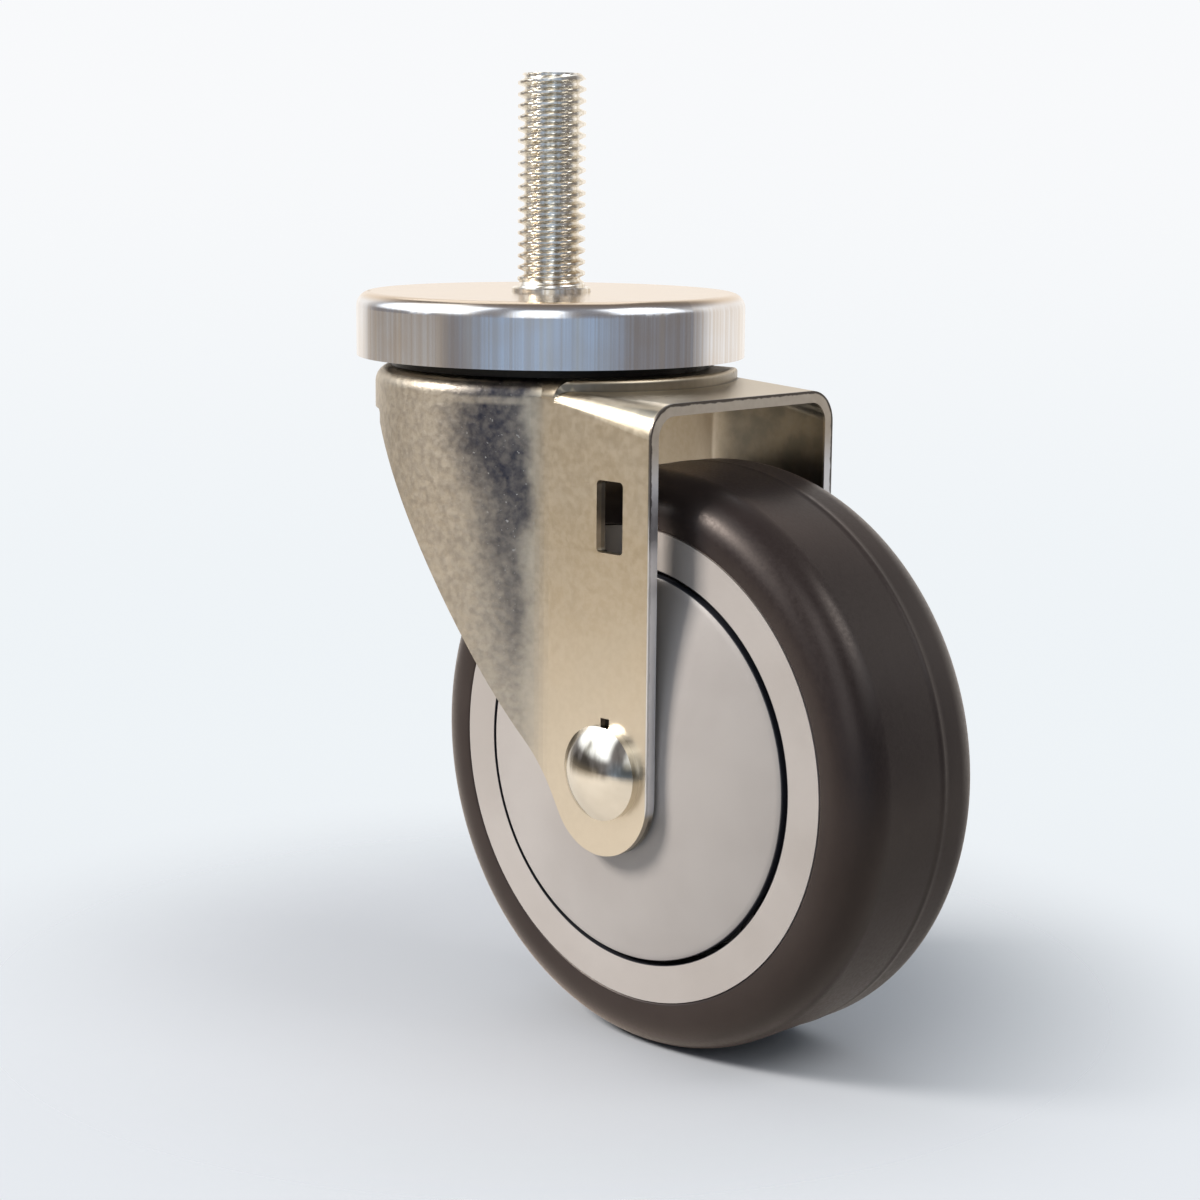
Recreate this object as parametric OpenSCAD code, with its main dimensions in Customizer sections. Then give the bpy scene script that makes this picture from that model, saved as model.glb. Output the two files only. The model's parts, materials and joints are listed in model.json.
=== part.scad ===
// Swivel stem castor: a plain threaded stem on a round ball-race cap, a pressed steel fork
// and a soft-tyred wheel on two ball bearings. Origin: swivel axis at the cap's top face.
// Z runs up the stem, X runs from the swivel axis towards the wheel axle. Millimetres.

/* [Wheel] */
// Diameter over the tread
wheel_d = 100; // [90:1:110]
// Width over the tyre's two sides
wheel_w = 32; // [28:1:36]
// Radial depth of the soft tyre outside the core
tyre_depth = 9.3; // [8.5:0.1:11]
// Radius of the tyre's rounded shoulders
tyre_shoulder_r = 7; // [4:0.5:8]
// Width of the flat ring that shows on the core's face
ring_face_w = 6.4; // [4:0.2:8]
// Radial wall of the core's rim under the tyre
rim_wall = 4.9; // [3:0.1:5.5]
// Thickness of the face lip around the guard
face_lip_t = 2.5; // [1.5:0.1:4]
// Thickness of the core's web
web_t = 5; // [3:0.5:8]
// Number of ribs between hub and rim
rib_count = 8; // [4:1:10]
// Thickness of each rib
rib_t = 2.6; // [1.5:0.1:4]
// Wall of the hub around the bearings
hub_wall = 4.5; // [3:0.5:6]

/* [Wheel bearings] */
// Bore of the bearings and outside of the axle sleeve
bearing_bore = 12; // [11:0.5:12.5]
// Outside diameter of the bearings
bearing_od = 28; // [27:0.5:30]
// Width of one bearing
bearing_w = 8; // [7:0.5:9]
// Distance from the wheel's middle to each bearing's outer face
bearing_out_y = 14.5; // [12:0.5:14.5]
// Diameter of the bearing balls
bearing_ball_d = 4.76; // [4:0.02:5]
// Balls in one bearing
bearing_ball_n = 8; // [6:1:9]
// Radial wall of the ball cage
cage_wall = 1.4; // [1:0.1:1.6]

/* [Guards] */
// Gap between the guard's edge and the turning core
guard_gap = 0.9; // [0.5:0.1:1.2]
// How far the guard's edge sits behind the wheel's face
guard_inset = 0.5; // [0.3:0.1:1.5]
// How far the guard's middle stands out of its edge
guard_rise = 5; // [3:0.1:5.2]
// Thickness of the guard's disc
guard_t = 1.6; // [1.2:0.1:2]
// Radius of the guard's flat seat against the leg
guard_seat_r = 8.6; // [8.2:0.1:10]

/* [Fork] */
// Sheet thickness of the pressed fork
sheet_t = 2; // [1.5:0.1:2.5]
// Distance from the swivel axis to the wheel axle
trail = 36.8; // [34:0.2:40]
// Gap between the wheel's side and the leg
side_gap = 4.85; // [4.5:0.05:6]
// Gap between the tread and the crown above it
head_room = 9.9; // [8:0.1:14]
// Radius of the round crown at the back and sides
crown_r = 31.2; // [29:0.1:33]
// Radius of the raised round table at the crown's front
table_r = 33.3; // [32:0.1:34]
// Radius of the crown's rounded shoulder
shoulder_r = 3; // [2.8:0.1:6]
// Height of the step from the front deck to the round table
table_step = 1.6; // [1:0.1:2.2]
// Slope of the front deck in degrees
deck_slope = 2.17; // [0:0.01:4]
// Radius of the deck's bend at the front edge
bend_r = 5.6; // [4:0.2:7]
// Radius of the hollow crease between crown and leg
crease_r = 8; // [5:0.5:12]
// Distance from the axle to the leg's front edge
leg_front = 9.65; // [9:0.05:12]
// Distance from the axle down to the leg's tip
tip_drop = 14.6; // [12.5:0.1:17]
// Radius of the leg's tip
tip_r = 10.9; // [9.5:0.1:12]
// Angle of the leg's back edge from level
leg_angle = 60; // [56:0.5:64]
// Depth of the skirt at the back, from the crown's top
skirt_drop = 7.4; // [6.5:0.1:10]
// Distance behind the swivel axis at which the skirt ends and the leg's back edge starts
neck_back = 14.7; // [12:0.1:16.5]
// Radius of the corner between the skirt and the leg's back edge
neck_r = 1; // [0.6:0.1:1.6]
// Height above the axle at which the leg's back edge starts to curve
hollow_rise = 15; // [10:1:25]
// Radius of that slight hollow curve
hollow_r = 340; // [260:10:500]
// Width of the slot in the near leg
slot_w = 6; // [4.5:0.1:7]
// Height of the slot in the near leg
slot_h = 12; // [8:0.1:14]
// Corner radius of the slot
slot_corner_r = 0.8; // [0.4:0.1:1.5]
// Distance from the front edge to the slot's middle
slot_back = 9; // [7:0.1:12]
// Distance from the deck's front edge to the slot's middle
slot_drop = 19; // [16:0.1:24]

/* [Axle] */
// Diameter of the axle bolt
axle_d = 8; // [7.5:0.1:8.5]
// Diameter of the bolt's domed head
head_d = 16; // [15:0.5:18]
// Height of the head's straight rim
head_rim_h = 1.5; // [1:0.1:2]
// Height of the head's dome above its rim
head_dome_h = 2.9; // [2:0.1:3.5]
// Width of the key notch above the axle hole
notch_w = 2; // [1.5:0.1:2.5]
// Reach of the key notch from the axle
notch_reach = 9.1; // [8:0.1:9.5]
// Width across the nut's flats
nut_flats = 13; // [12:0.5:15]
// Height of the nut's hexagon
nut_h = 5.5; // [5:0.1:7]
// Height of the nut's round collar over the hexagon
nut_collar_h = 2.6; // [2:0.1:3.5]
// Diameter of the washer under the nut
washer_d = 16; // [15.5:0.5:19]
// Thickness of the washer
washer_t = 1.6; // [1:0.1:2]

/* [Swivel head] */
// Diameter of the cap
cap_d = 69; // [67:0.5:72]
// Height of the cap
cap_h = 11.2; // [10.8:0.1:12.5]
// Sheet thickness of the cap
cap_t = 2; // [1.5:0.1:2.2]
// Outer edge radius of the cap
cap_edge_r = 2.6; // [1:0.1:3]
// Gap between the cap's lower edge and the crown
cap_gap = 1.7; // [1.3:0.1:2.5]
// Diameter of the upper race balls
upper_ball_d = 6.35; // [6:0.05:6.7]
// Radius of the upper ball circle
upper_track_r = 22; // [21:0.1:23]
// Balls in the upper race
upper_ball_n = 20; // [12:1:20]
// Diameter of the lower race balls
lower_ball_d = 4.76; // [4:0.02:5.2]
// Radius of the lower ball circle
lower_track_r = 13; // [12.5:0.1:14]
// Balls in the lower race
lower_ball_n = 14; // [8:1:15]
// Thickness of the race ring pressed into the cap
cap_race_t = 3; // [2.5:0.1:3.4]
// Radial width of the two upper race rings
race_ring_w = 13; // [11:0.5:13.5]
// Thickness of the lower race cup
cup_t = 2.5; // [2:0.1:3]

/* [Stem] */
// Thread diameter of the stem
stem_d = 12; // [10:0.5:13]
// Length of the stem above the cap
stem_len = 38; // [25:1:60]
// Chamfer at the stem's end
stem_chamfer = 1; // [0.5:0.1:1.5]
// Diameter of the collar at the stem's root
collar_d = 14; // [13.6:0.2:16]
// Height of the collar
collar_h = 0.8; // [0.6:0.1:1.5]
// Diameter of the kingpin below the cap
kingpin_d = 13; // [12:0.5:13.5]
// Height of the riveted head
rivet_h = 2.5; // [2:0.1:3.5]
// Diameter of the riveted head
rivet_d = 20; // [18:0.5:22]

/* [Fits] */
// Radial clearance of fixed parts on the axle and the kingpin
seat_clear = 0.05; // [0.02:0.01:0.1]
// Clearance between balls and the race that they turn against
ball_clear = 0.3; // [0.3:0.02:0.4]
// Radial clearance of the axle bolt in its holes
bolt_clear = 0.15; // [0.1:0.01:0.25]
// Radial clearance of the turning crown around the kingpin
pin_clear = 0.6; // [0.5:0.05:0.8]

/* [Hidden] */
$fn = 96;
// Small overlap that keeps a cut clean
eps = 0.01;
// Facets on one ball
ball_fn = 16;
// Depth of a ball track in a hardened ring
track_depth = 0.8;
// Depth of a ball track in the crown's sheet
sheet_track_depth = 0.5;
// Length that a cutting or building block runs past the pressing
overrun = 6;
// Drop of the raw pressing below the axle, cut away later by the side outline
raw_drop = 30;
// Radial gap of the shields and guard collars against the rings
shield_gap = 0.3;
// Thickness of a dust shield
shield_t = 0.4;
// How far a dust shield sits in from the bearing's face
shield_sink = 0.2;
// Height of the hub's shoulder behind each bearing
hub_shoulder = 2.8;
// Distance from the wheel's face to the rib's edge
rib_setback = 4.5;
// Height of a cage ring beyond its balls
cage_overhang = 0.7;
// Clearance of a ball in its cage pocket
pocket_clear = 0.1;
// Radial wall of the tube between the bearings
spacer_wall = 2;
// Inner edge radius of the cap
cap_fillet_r = 0.5;
// Radial gap around the stem's flange
flange_gap = 0.5;
// Gap between the lower cup's rim and the crown
cup_rim_gap = 0.8;
// Thickness of the lower cup's rim
cup_rim_t = 2;
// Edge radius of the raised table
table_edge_r = 0.8;
// Wall of the nut around its locking ring
nut_wall = 1;
// Amount by which the nut's round collar is smaller than its flats
nut_collar_cut = 0.2;
// Depth to which the locking ring sinks into the hexagon
insert_sink = 0.3;
wheel_r = wheel_d / 2;
half_w = wheel_w / 2;
core_r = wheel_r - tyre_depth;
recess_r = core_r - ring_face_w;
rim_in_r = core_r - rim_wall;
bearing_bore_r = bearing_bore / 2;
bearing_or = bearing_od / 2;
hub_r = bearing_or + hub_wall;
bearing_in_y = bearing_out_y - bearing_w;
ball_circle_r = (bearing_bore_r + bearing_or) / 2;
// Radial wall of one bearing ring
ring_wall = 2.5;
inner_ring_r = bearing_bore_r + ring_wall;
outer_ring_r = bearing_or - ring_wall;
spacer_r = bearing_bore_r + spacer_wall;
shoulder_bore_r = bearing_or - hub_shoulder;
guard_r = recess_r - guard_gap;
guard_edge_y = half_w - guard_inset;
guard_dome_r = (guard_r * guard_r + guard_rise * guard_rise) / (2 * guard_rise);
guard_dome_y = guard_edge_y + guard_rise - guard_dome_r;
guard_collar_r = inner_ring_r - shield_gap;
fork_in = half_w + side_gap;
fork_half = fork_in + sheet_t;
front_x = trail + leg_front;
crown_z = -cap_h - cap_gap;
deck_root_z = crown_z - table_step;
// Distance from the swivel axis at which the deck starts to fall
deck_root_x = 21;
deck_fall = tan(deck_slope);
deck_front_z = deck_root_z - deck_fall * (front_x - deck_root_x);
axle_z = deck_front_z - sheet_t - head_room - wheel_r;
tip_x = front_x - tip_r;
tip_z = axle_z - tip_drop + tip_r;
back_x = tip_x - tip_r * sin(leg_angle);
back_z = tip_z - tip_r * cos(leg_angle);
skirt_z = crown_z - skirt_drop;
hollow_z = axle_z + hollow_rise;
hollow_x = back_x - (hollow_z - back_z) / tan(leg_angle);
crease_y = fork_half + crease_r;
crease_span = crown_r + crease_r;
crease_x = sqrt(crease_span * crease_span - crease_y * crease_y);
// Where the deck's tapered bends would come to a point, hidden under the crown
bend_root_x = 12;
bend_len = (front_x - bend_root_x) / cos(deck_slope);
bend_axis = sqrt(bend_len * bend_len + 2 * bend_r * bend_r);
bend_half_angle = asin(bend_r / bend_axis);
bend_plane = sqrt(bend_r * bend_r + 2 * bend_len * bend_len);
axle_r = axle_d / 2;
stem_r = stem_d / 2;
kingpin_r = kingpin_d / 2;
cap_r = cap_d / 2;
cap_in_r = cap_r - cap_t;
race_in_r = upper_track_r - race_ring_w / 2;
race_out_r = upper_track_r + race_ring_w / 2;
flange_r = race_in_r - flange_gap;
upper_ball_r = upper_ball_d / 2;
lower_ball_r = lower_ball_d / 2;
cap_race_z = -cap_t - cap_race_t;
upper_ball_z = cap_race_z + track_depth - ball_clear - upper_ball_r;
crown_race_z = upper_ball_z - upper_ball_r - seat_clear + track_depth;
crown_under_z = crown_z - sheet_t;
lower_ball_z = crown_under_z + sheet_track_depth - ball_clear - lower_ball_r;
cup_z = lower_ball_z - lower_ball_r - seat_clear + track_depth;
cup_under_z = cup_z - cup_t;
cup_rim_r = lower_track_r + lower_ball_r + cup_rim_gap;
head_sphere_r = (head_d * head_d / 4 + head_dome_h * head_dome_h) / (2 * head_dome_h);

// Ring of plain section between two radii and two heights
module ring(r_in, r_out, z_low, z_high) {
    difference() {
        translate([0, 0, z_low]) cylinder(r = r_out, h = z_high - z_low);
        translate([0, 0, z_low - eps]) cylinder(r = r_in, h = z_high - z_low + 2 * eps);
    }
}

// Round-bottomed ball track, ready to be cut from a ring
module track(circle_r, z_mid, groove_r) {
    translate([0, 0, z_mid]) rotate_extrude() translate([circle_r, 0]) circle(r = groove_r, $fn = 32);
}

// Full circle of loose balls
module ball_ring(count, circle_r, z_mid, ball_r) {
    for (i = [0 : count - 1]) {
        rotate([0, 0, i * 360 / count]) translate([circle_r, 0, z_mid]) sphere(r = ball_r, $fn = ball_fn);
    }
}

// Places a part that is drawn along Z on the wheel axle, pointing to the near or far side
module on_axle(side) {
    translate([trail, 0, axle_z]) rotate([-90 * side, 0, 0]) children();
}

// Threaded stem, root collar, flange, kingpin and riveted head, turned in one piece
module stem() {
    color([0.78, 0.76, 0.70]) {
        translate([0, 0, stem_len - stem_chamfer])
            cylinder(r1 = stem_r, r2 = stem_r - stem_chamfer, h = stem_chamfer);
        cylinder(r = stem_r, h = stem_len - stem_chamfer);
        translate([0, 0, -cap_t]) cylinder(r = collar_d / 2, h = cap_t + collar_h);
        translate([0, 0, cup_under_z - eps]) cylinder(r = kingpin_r, h = -cup_under_z + 2 * eps);
        translate([0, 0, cap_race_z]) cylinder(r = flange_r, h = cap_race_t);
        translate([0, 0, cup_under_z - rivet_h])
            cylinder(r1 = rivet_d / 2 - rivet_h / 2, r2 = rivet_d / 2, h = rivet_h / 2);
        translate([0, 0, cup_under_z - rivet_h / 2]) cylinder(r = rivet_d / 2, h = rivet_h / 2);
    }
}

// Half section of a round-edged cup of radius r with its top at z
module cup_section(r, edge_r, z_low, z_top) {
    translate([0, z_low]) square([r - edge_r, z_top - z_low]);
    translate([0, z_low]) square([r, z_top - edge_r - z_low]);
    translate([r - edge_r, z_top - edge_r]) intersection() {
        circle(r = edge_r);
        square([edge_r, edge_r]);
    }
}

// Drawn sheet cap over the upper ball race
module cap() {
    color([0.80, 0.77, 0.72]) difference() {
        rotate_extrude() cup_section(cap_r, cap_edge_r, -cap_h, 0);
        rotate_extrude() cup_section(cap_in_r, cap_fillet_r, -cap_h - 1, -cap_t);
        translate([0, 0, -cap_t - 1]) cylinder(r = collar_d / 2 + seat_clear, h = cap_t + 2);
    }
}

// Hardened ring in the cap, with the upper ball track on its underside
module cap_race() {
    color([0.55, 0.55, 0.56]) difference() {
        ring(race_in_r, race_out_r, cap_race_z, -cap_t);
        track(upper_track_r, upper_ball_z, upper_ball_r + ball_clear);
    }
}

// Dished cup under the crown, with the lower ball track and an upstanding rim
module lower_cup() {
    color([0.62, 0.61, 0.58]) difference() {
        union() {
            ring(kingpin_r + seat_clear, cup_rim_r + cup_rim_t, cup_under_z, cup_z);
            ring(cup_rim_r, cup_rim_r + cup_rim_t, cup_under_z, crown_under_z - cup_rim_gap);
        }
        track(lower_track_r, lower_ball_z, lower_ball_r + seat_clear);
    }
}

// Loose balls of the lower race
module lower_balls() {
    color([0.86, 0.87, 0.88]) ball_ring(lower_ball_n, lower_track_r, lower_ball_z, lower_ball_r);
}

// Loose balls of the upper race
module upper_balls() {
    color([0.86, 0.87, 0.88]) ball_ring(upper_ball_n, upper_track_r, upper_ball_z, upper_ball_r);
}

// Hardened ring on the crown, with the lower track of the upper race
module crown_race() {
    color([0.55, 0.55, 0.56]) difference() {
        ring(race_in_r, race_out_r, crown_z, crown_race_z);
        track(upper_track_r, upper_ball_z, upper_ball_r + seat_clear);
    }
}

// Hollow fillet where the round crown runs into a flat leg, up to the crown's shoulder
module crease(side, inset) {
    outer = crown_r - inset;
    low = axle_z - raw_drop;
    difference() {
        translate([0, 0, low]) linear_extrude(height = crown_z - shoulder_r - low)
            polygon([[crease_x - crease_r, side * (fork_half - inset - overrun)],
                     [outer * crease_x / crease_span, side * outer * crease_y / crease_span],
                     [crease_x, side * crease_y],
                     [crease_x, side * (fork_half - inset - eps)]]);
        translate([crease_x, side * crease_y, low - 1])
            cylinder(r = crease_r + inset, h = crown_z - shoulder_r - low + 2);
    }
}

// Conical bend between deck and leg, with its point at the crown and its full radius in front
module bend_frame(inset) {
    shift = inset / bend_r * bend_len;
    translate([bend_root_x, -fork_half, deck_root_z - deck_fall * (bend_root_x - deck_root_x)])
        rotate([0, deck_slope, 0]) translate([shift, inset, -inset]) children();
}

// Wedge outside the conical bend on the near side
module bend_wedge(inset) {
    bend_frame(inset) rotate([0, acos(bend_len / bend_plane), atan2(-bend_len, bend_r)])
        translate([-2 * wheel_r, -2 * wheel_r, 0]) cube([4 * wheel_r, 4 * wheel_r, wheel_r]);
}

// Cone that rounds the bend on the near side
module bend_cone(inset) {
    reach = bend_axis + overrun;
    bend_frame(inset) rotate([0, acos(-bend_r / bend_axis), atan2(bend_r, bend_len)])
        cylinder(r1 = 0, r2 = reach * tan(bend_half_angle), h = reach);
}

// Deck and legs as one block, pulled in by the inset
module deck_block(inset) {
    wide = fork_half - inset;
    slope_drop = inset / cos(deck_slope);
    difference() {
        translate([0, wide, 0]) rotate([90, 0, 0]) linear_extrude(height = 2 * wide)
            polygon([[0, axle_z - raw_drop], [front_x + overrun, axle_z - raw_drop],
                     [front_x + overrun, deck_front_z - slope_drop - overrun * deck_fall],
                     [deck_root_x, deck_root_z - slope_drop],
                     [0, deck_root_z - slope_drop]]);
        bend_wedge(inset);
        mirror([0, 1, 0]) bend_wedge(inset);
    }
    bend_cone(inset);
    mirror([0, 1, 0]) bend_cone(inset);
}

// Raised round table at the front of the crown; the crown's shoulder runs on along its sides
module table(inset) {
    wide = fork_half - inset;
    edge = shoulder_r - inset;
    top = crown_z - inset;
    intersection() {
        rotate_extrude() cup_section(table_r - inset, table_edge_r, deck_front_z - overrun, top);
        union() {
            translate([0, -wide + edge, top - raw_drop]) cube([2 * table_r, 2 * (wide - edge), 2 * raw_drop]);
            translate([0, -wide, top - edge - raw_drop]) cube([2 * table_r, 2 * wide, raw_drop]);
            for (side = [-1, 1]) {
                translate([0, side * (wide - edge), top - edge]) rotate([0, 90, 0])
                    cylinder(r = edge, h = 2 * table_r);
            }
        }
    }
}

// Whole pressing as a solid, pulled in by the inset
module fork_form(inset) {
    low = axle_z - raw_drop;
    rotate_extrude() cup_section(crown_r - inset, shoulder_r - inset, low, crown_z - inset);
    table(inset);
    deck_block(inset);
    crease(-1, inset);
    crease(1, inset);
}

// Void behind the leg's slightly hollow back edge, below the skirt
module back_hollow(span) {
    depth = skirt_z - hollow_z;
    intersection() {
        translate([hollow_x - hollow_r * sin(leg_angle), hollow_z - hollow_r * cos(leg_angle), -1])
            cylinder(r = hollow_r, h = span + 2, $fn = 720);
        translate([-2 * crown_r, hollow_z, -2]) cube([4 * crown_r, depth, span + 4]);
    }
}

// Block with the fork's side outline, as wide as both legs
module fork_silhouette() {
    span = 4 * fork_half;
    translate([0, span / 2, 0]) rotate([90, 0, 0]) {
        difference() {
            linear_extrude(height = span)
                polygon([[-crown_r - overrun, overrun], [front_x, overrun], [front_x, tip_z],
                         [tip_x, tip_z - tip_r / 2],
                         [back_x, back_z], [hollow_x, hollow_z],
                         [-neck_back, hollow_z], [-neck_back, skirt_z - neck_r],
                         [-neck_back - neck_r, skirt_z - neck_r], [-neck_back - neck_r, skirt_z],
                         [-crown_r - overrun, skirt_z]]);
            translate([-neck_back - neck_r, skirt_z - neck_r, -1]) cylinder(r = neck_r, h = span + 2);
            back_hollow(span);
        }
        translate([tip_x, tip_z, 0]) intersection() {
            cylinder(r = tip_r, h = span);
            linear_extrude(height = span)
                polygon([[0, 0], [2 * tip_r, 0], [2 * tip_r, -3 * tip_r], [-3 * tip_r, -3 * tip_r],
                         [-3 * tip_r * sin(leg_angle), -3 * tip_r * cos(leg_angle)]]);
        }
    }
}

// Slot with rounded corners, seen from the side
module slot_outline() {
    side = slot_w / 2 - slot_corner_r;
    up = slot_h / 2 - slot_corner_r;
    translate([front_x - slot_back, deck_front_z - slot_drop]) {
        square([slot_w, 2 * up], center = true);
        square([2 * side, slot_h], center = true);
        for (x = [-side, side]) {
            for (z = [-up, up]) {
                translate([x, z]) circle(r = slot_corner_r, $fn = 24);
            }
        }
    }
}

// Pressed fork: round dished crown, step, sloping deck with tapered bends, creased legs and skirt
module fork() {
    color([0.74, 0.69, 0.58]) difference() {
        intersection() {
            difference() {
                fork_form(0);
                fork_form(sheet_t);
            }
            fork_silhouette();
        }
        rotate([90, 0, 0]) linear_extrude(height = 2 * fork_half) slot_outline();
        translate([trail, -wheel_r, axle_z]) rotate([-90, 0, 0])
            cylinder(r = axle_r + bolt_clear, h = 2 * wheel_r);
        translate([trail - notch_w / 2, -fork_half - 1, axle_z]) cube([notch_w, sheet_t + 2, notch_reach]);
        translate([0, 0, crown_under_z - 1]) cylinder(r = kingpin_r + pin_clear, h = sheet_t + 2);
        track(lower_track_r, lower_ball_z, lower_ball_r + ball_clear);
    }
}

// Domed head on the near side and plain shank through both legs
module axle_bolt() {
    tail = 2 * fork_half + washer_t + nut_h + nut_collar_h + 1;
    color([0.86, 0.86, 0.86]) {
        on_axle(-1) translate([0, 0, fork_half]) {
            cylinder(r = head_d / 2, h = head_rim_h);
            translate([0, 0, head_rim_h - eps]) rotate_extrude() intersection() {
                translate([0, head_dome_h - head_sphere_r]) circle(r = head_sphere_r);
                square([head_d / 2, head_dome_h]);
            }
        }
        on_axle(1) translate([0, 0, -fork_half - eps]) cylinder(r = axle_r, h = tail);
    }
}

// Flat washer between the far leg and the nut
module axle_washer() {
    color([0.80, 0.79, 0.76]) on_axle(1)
        ring(axle_r + bolt_clear, washer_d / 2, fork_half, fork_half + washer_t);
}

// Hexagon lock nut with a round collar for the insert
module axle_nut() {
    base = fork_half + washer_t;
    top = base + nut_h + nut_collar_h;
    color([0.78, 0.77, 0.74]) on_axle(1) difference() {
        union() {
            translate([0, 0, base]) cylinder(r = nut_flats / 2 / cos(30), h = nut_h, $fn = 6);
            translate([0, 0, base]) cylinder(r = nut_flats / 2 - nut_collar_cut, h = nut_h + nut_collar_h);
        }
        translate([0, 0, base - 1]) cylinder(r = axle_r + seat_clear, h = nut_h + nut_collar_h + 2);
        translate([0, 0, top - nut_collar_h - insert_sink])
            cylinder(r = nut_flats / 2 - nut_wall, h = nut_collar_h);
    }
}

// Plastic locking ring inside the nut's collar
module nut_insert() {
    low = fork_half + washer_t + nut_h - insert_sink;
    color([0.20, 0.32, 0.62]) on_axle(1)
        ring(axle_r + seat_clear, nut_flats / 2 - nut_wall - seat_clear, low, low + nut_collar_h);
}

// Steel tube that the legs clamp, with the bearings and guards on it
module axle_sleeve() {
    color([0.70, 0.70, 0.70]) on_axle(1)
        ring(axle_r + bolt_clear, bearing_bore_r - seat_clear, -fork_in, fork_in);
}

// Domed cover disc with a seat against the leg and a collar against the bearing
module guard(side) {
    on_axle(side) difference() {
        rotate_extrude() {
            difference() {
                intersection() {
                    translate([0, guard_dome_y]) circle(r = guard_dome_r, $fn = 240);
                    translate([0, guard_edge_y - guard_t]) square([guard_r, guard_rise + guard_t]);
                }
                translate([0, guard_dome_y - guard_t]) circle(r = guard_dome_r, $fn = 240);
            }
            translate([0, guard_edge_y]) square([guard_seat_r, fork_in - guard_edge_y]);
            translate([0, bearing_out_y]) square([guard_collar_r, fork_in - bearing_out_y]);
        }
        translate([0, 0, bearing_out_y - 1]) cylinder(r = bearing_bore_r, h = fork_in);
    }
}

// Guard on the near side
module guard_near() {
    color([0.73, 0.71, 0.69]) guard(-1);
}

// Guard on the far side
module guard_far() {
    color([0.73, 0.71, 0.69]) guard(1);
}

// Tube that holds the two inner rings apart
module bearing_spacer() {
    color([0.66, 0.66, 0.66]) on_axle(1) ring(bearing_bore_r, spacer_r, -bearing_in_y, bearing_in_y);
}

// Inner rings of both bearings, each with a ball track
module inner_rings() {
    color([0.72, 0.73, 0.74]) for (side = [-1, 1]) {
        on_axle(side) difference() {
            ring(bearing_bore_r, inner_ring_r, bearing_in_y, bearing_out_y);
            track(ball_circle_r, bearing_out_y - bearing_w / 2, bearing_ball_d / 2 + ball_clear);
        }
    }
}

// Outer rings of both bearings, each with a ball track
module outer_rings() {
    color([0.72, 0.73, 0.74]) for (side = [-1, 1]) {
        on_axle(side) difference() {
            ring(outer_ring_r, bearing_or, bearing_in_y, bearing_out_y);
            track(ball_circle_r, bearing_out_y - bearing_w / 2, bearing_ball_d / 2 + seat_clear);
        }
    }
}

// Balls of both bearings
module bearing_balls() {
    color([0.86, 0.87, 0.88]) for (side = [-1, 1]) {
        on_axle(side)
            ball_ring(bearing_ball_n, ball_circle_r, bearing_out_y - bearing_w / 2, bearing_ball_d / 2);
    }
}

// Cage ring of each bearing, with a pocket around every ball
module ball_cages() {
    mid = bearing_out_y - bearing_w / 2;
    cage_half = bearing_ball_d / 2 + cage_overhang;
    color([0.60, 0.48, 0.30]) for (side = [-1, 1]) {
        on_axle(side) difference() {
            ring(ball_circle_r - cage_wall / 2, ball_circle_r + cage_wall / 2,
                 mid - cage_half, mid + cage_half);
            for (i = [0 : bearing_ball_n - 1]) {
                rotate([0, 0, i * 360 / bearing_ball_n]) translate([ball_circle_r - cage_wall, 0, mid])
                    rotate([0, 90, 0]) cylinder(r = bearing_ball_d / 2 + pocket_clear, h = 2 * cage_wall);
            }
        }
    }
}

// Thin dust shields on the outer faces of the bearings
module bearing_shields() {
    color([0.62, 0.63, 0.64]) for (side = [-1, 1]) {
        on_axle(side) ring(inner_ring_r + shield_gap, outer_ring_r,
                           bearing_out_y - shield_sink - shield_t, bearing_out_y - shield_sink);
    }
}

// Moulded core: rim, face rings, web, ribs and hub
module wheel_core() {
    rib_half = half_w - rib_setback;
    color([0.78, 0.76, 0.73]) on_axle(1) {
        difference() {
            union() {
                ring(rim_in_r, core_r, -half_w, half_w);
                ring(recess_r, core_r, -half_w, -half_w + face_lip_t);
                ring(recess_r, core_r, half_w - face_lip_t, half_w);
                cylinder(r = rim_in_r + eps, h = web_t, center = true);
                cylinder(r = hub_r, h = 2 * bearing_out_y, center = true);
                for (i = [0 : rib_count - 1]) {
                    rotate([0, 0, i * 360 / rib_count]) translate([0, -rib_t / 2, -rib_half])
                        cube([rim_in_r + eps, rib_t, 2 * rib_half]);
                }
            }
            cylinder(r = shoulder_bore_r, h = wheel_w, center = true);
            translate([0, 0, bearing_in_y]) cylinder(r = bearing_or, h = half_w);
            mirror([0, 0, 1]) translate([0, 0, bearing_in_y]) cylinder(r = bearing_or, h = half_w);
        }
    }
}

// Soft tyre with rounded shoulders, moulded on the core
module tyre() {
    flat = half_w - tyre_shoulder_r;
    color([0.30, 0.27, 0.26]) on_axle(1) difference() {
        rotate_extrude($fn = 144) {
            translate([0, -half_w]) square([wheel_r - tyre_shoulder_r, wheel_w]);
            translate([0, -flat]) square([wheel_r, 2 * flat]);
            translate([wheel_r - tyre_shoulder_r, flat]) circle(r = tyre_shoulder_r, $fn = 48);
            translate([wheel_r - tyre_shoulder_r, -flat]) circle(r = tyre_shoulder_r, $fn = 48);
        }
        cylinder(r = core_r, h = wheel_w + 2, center = true);
    }
}

stem();
cap();
cap_race();
lower_cup();
lower_balls();
fork();
crown_race();
upper_balls();
axle_bolt();
axle_washer();
axle_nut();
nut_insert();
axle_sleeve();
guard_near();
guard_far();
bearing_spacer();
inner_rings();
wheel_core();
tyre();
outer_rings();
bearing_balls();
ball_cages();
bearing_shields();
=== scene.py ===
import json
import bmesh
import bpy
import numpy as np
from mathutils import Matrix, Vector


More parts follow.
